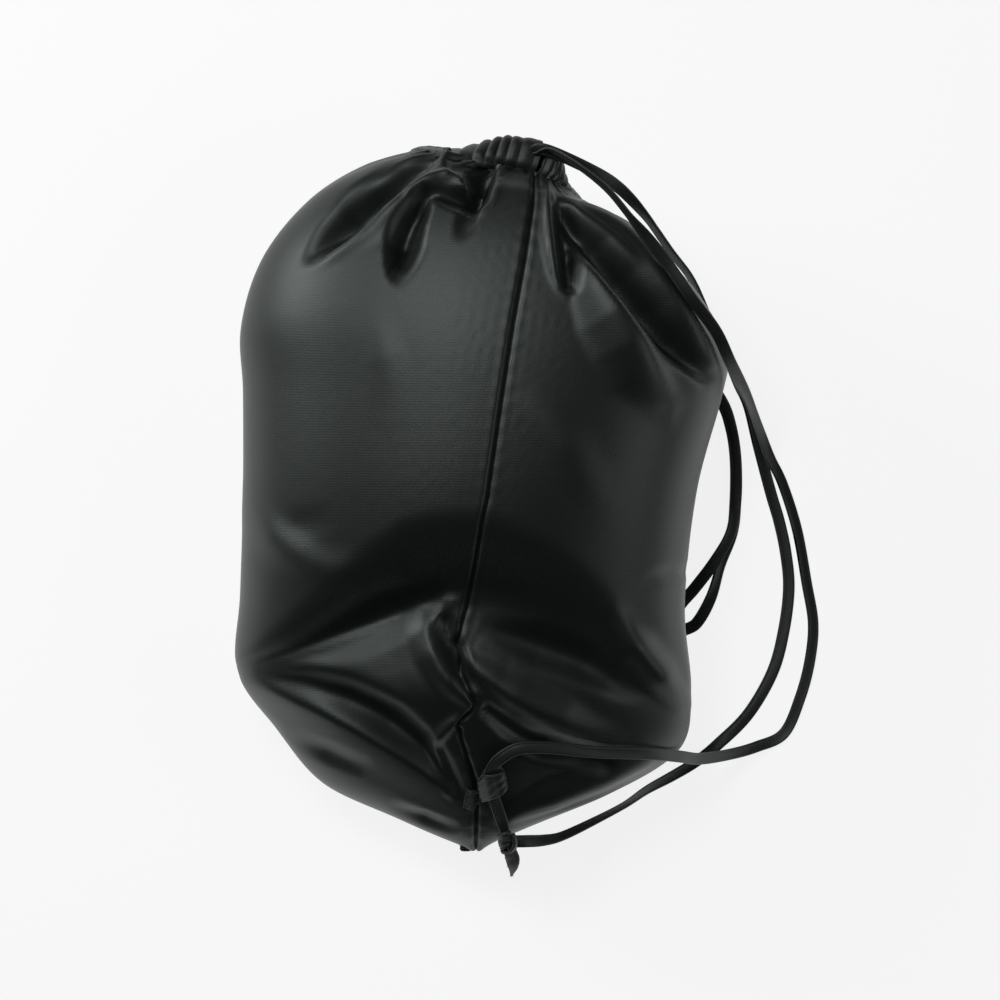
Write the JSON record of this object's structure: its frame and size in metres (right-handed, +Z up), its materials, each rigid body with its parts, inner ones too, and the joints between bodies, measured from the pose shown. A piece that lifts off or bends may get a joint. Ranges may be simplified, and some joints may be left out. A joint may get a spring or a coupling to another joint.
{
  "type": "drawstring backpack",
  "caption": "Filled cloth drawstring backpack lying on its side seam, mouth gathered shut by two flat drawcords that run in a casing and serve as shoulder straps, knotted at corner tabs",
  "frame": {"origin": "under the middle of the bag, drawcords aside, on the surface that it lies on", "axes": "X from the front panel to the back panel, Y from the bottom corners to the mouth, Z up, from the left side seam to the right side seam"},
  "size_m": [0.3556, 0.4506, 0.1427],
  "materials": {
    "panel_cloth": "satin",
    "edge_cloth": "satin",
    "cord_cloth": "satin",
    "thread": "matte"
  },
  "bodies": {
    "bag": {"front_panel": "panel_cloth", "back_panel": "panel_cloth", "front_casing": "edge_cloth", "back_casing": "edge_cloth", "right_side_seam": "edge_cloth", "left_side_seam": "edge_cloth", "bottom_seam": "edge_cloth", "right_tab": "edge_cloth", "left_tab": "edge_cloth", "right_tab_stitching": "thread", "left_tab_stitching": "thread", "right_cord_casing_run": "cord_cloth", "left_cord_casing_run": "cord_cloth", "left_cord_under_tab": "cord_cloth"},
    "right_strap": {"right_cord_front_strand": "cord_cloth", "right_cord_back_strand": "cord_cloth"},
    "left_strap": {"left_cord_front_strand": "cord_cloth", "left_cord_back_strand": "cord_cloth"},
    "right_knot_end": {"right_knot": "cord_cloth", "right_cord_tails": "cord_cloth"},
    "left_knot_end": {"left_knot": "cord_cloth", "left_cord_tails": "cord_cloth"}
  },
  "joints": [
    {"name": "right_strap_swing", "type": "hinge", "parent": "bag", "child": "right_strap", "pos_m": [0.023, 0.0225, 0.108], "axis": [-0.0806, -0.9967, -0.0054], "range_deg": [0, 110]},
    {"name": "left_strap_swing", "type": "hinge", "parent": "bag", "child": "left_strap", "pos_m": [0.0145, -0.003, 0.024], "axis": [0.0126, 0.9948, 0.101], "range_deg": [0, 110]},
    {"name": "right_knot_slide", "type": "slide", "parent": "bag", "child": "right_knot_end", "axis": [-0.1737, 0.8529, 0.4924], "range_m": [0, 0.01]},
    {"name": "left_knot_slide", "type": "slide", "parent": "bag", "child": "left_knot_end", "axis": [1, 0, 0], "range_m": [0, 0.01]}
  ]
}
